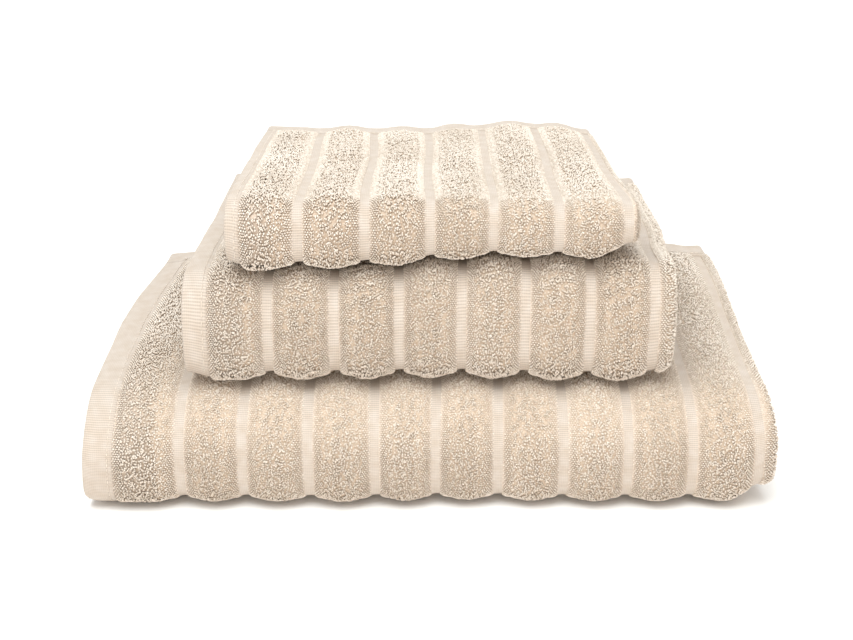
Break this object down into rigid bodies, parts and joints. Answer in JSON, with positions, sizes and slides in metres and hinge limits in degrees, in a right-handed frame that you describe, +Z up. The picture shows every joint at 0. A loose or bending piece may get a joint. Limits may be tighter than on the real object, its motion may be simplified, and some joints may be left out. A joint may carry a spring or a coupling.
{
  "type": "bath towel set",
  "caption": "Stack of folded terry towels in falling sizes, each with puffed pile ribs between flat woven stripes and hemmed edges.",
  "frame": {"origin": "centre of the stack's bounding box, on the surface that the stack lies on", "axes": "+X along the towels' folded width, towards their side folds; -Y towards the thick rounded front folds; +Z up through the stack"},
  "size_m": [0.3507, 0.2384, 0.1563],
  "materials": {
    "terry_pile": "uncut cotton loops, matt",
    "flat_woven_hem": "flat-woven cotton, matt",
    "sewing_thread": "spun cotton thread"
  },
  "bodies": {
    "bath_towel": {"bath_towel_cloth": "terry_pile", "bath_towel_outer_side_hem": "flat_woven_hem", "bath_towel_outer_end_hem": "flat_woven_hem", "bath_towel_outer_side_stitching": "sewing_thread", "bath_towel_outer_end_stitching": "sewing_thread", "bath_towel_inner_side_hem": "flat_woven_hem", "bath_towel_inner_end_hem": "flat_woven_hem", "bath_towel_inner_side_stitching": "sewing_thread", "bath_towel_inner_end_stitching": "sewing_thread"},
    "hand_towel": {"hand_towel_cloth": "terry_pile", "hand_towel_outer_side_hem": "flat_woven_hem", "hand_towel_outer_end_hem": "flat_woven_hem", "hand_towel_outer_side_stitching": "sewing_thread", "hand_towel_outer_end_stitching": "sewing_thread", "hand_towel_inner_side_hem": "flat_woven_hem", "hand_towel_inner_end_hem": "flat_woven_hem", "hand_towel_inner_side_stitching": "sewing_thread", "hand_towel_inner_end_stitching": "sewing_thread"},
    "guest_towel": {"guest_towel_cloth": "terry_pile", "guest_towel_outer_side_hem": "flat_woven_hem", "guest_towel_outer_end_hem": "flat_woven_hem", "guest_towel_outer_side_stitching": "sewing_thread", "guest_towel_outer_end_stitching": "sewing_thread", "guest_towel_inner_side_hem": "flat_woven_hem", "guest_towel_inner_end_hem": "flat_woven_hem", "guest_towel_inner_side_stitching": "sewing_thread", "guest_towel_inner_end_stitching": "sewing_thread"}
  },
  "joints": [
    {"name": "hand_towel_lift", "type": "slide", "parent": "bath_towel", "child": "hand_towel", "axis": [0, 0, 1], "range_m": [0, 0.1]},
    {"name": "guest_towel_lift", "type": "slide", "parent": "hand_towel", "child": "guest_towel", "axis": [0, 0, 1], "range_m": [0, 0.1]}
  ]
}
